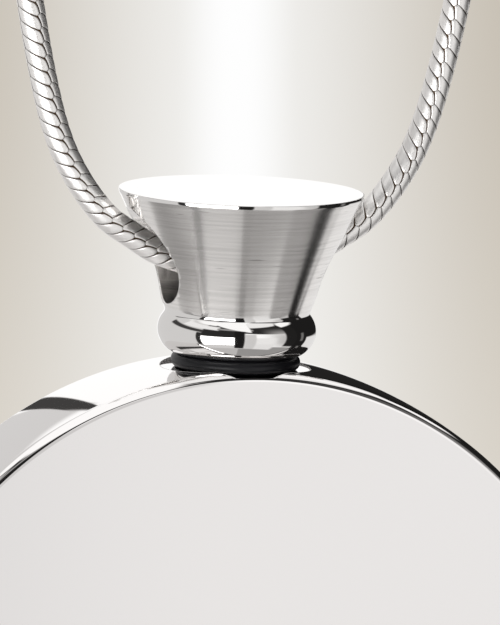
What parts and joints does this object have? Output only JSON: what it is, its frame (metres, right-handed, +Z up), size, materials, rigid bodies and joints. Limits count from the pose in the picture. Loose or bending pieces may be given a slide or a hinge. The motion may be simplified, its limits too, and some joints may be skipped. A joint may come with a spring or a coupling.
{
  "type": "keepsake urn pendant on a necklace chain",
  "caption": "Round hollow disc flask that screws onto a flared cap, hanging by the cap's cross bore on a fine snake chain closed by a barrel clasp.",
  "frame": {"origin": "middle of the underside of the clasp, at the top of the chain's loop, where the closed necklace hangs on a neck or a peg", "axes": "+Z up along the hanging necklace, +X along the cap's cross bore and the clasp, +Y through the disc from its front face to its back"},
  "size_m": [0.0714, 0.0092, 0.235],
  "materials": {
    "polished_steel": "mirror-polished stainless steel",
    "turned_steel": "polished stainless steel with fine turning marks",
    "chain_steel": "polished stainless steel snake chain",
    "gasket_rubber": "black rubber with a soft sheen"
  },
  "bodies": {
    "necklace": {"chain": "chain_steel", "clasp": "polished_steel"},
    "cap": {"cap": "turned_steel"},
    "gasket": {"gasket": "gasket_rubber"},
    "urn": {"urn_body": "polished_steel"}
  },
  "joints": [
    {"name": "pendant_swing", "type": "hinge", "parent": "necklace", "child": "cap", "pos_m": [0, 0, -0.20001], "axis": [1, 0, 0], "range_deg": [-90, 90]},
    {"name": "thread_travel", "type": "slide", "parent": "cap", "child": "gasket", "axis": [0, 0, -1], "range_m": [0, 0.0025]},
    {"name": "urn_turn", "type": "hinge", "parent": "gasket", "child": "urn", "pos_m": [0, 0, -0.2042], "axis": [0, 0, -1], "range_deg": [0, 1800]}
  ],
  "couplings": [
    {"joint": "thread_travel", "follows": "urn_turn", "m_per_rad": 0.000079577}
  ]
}
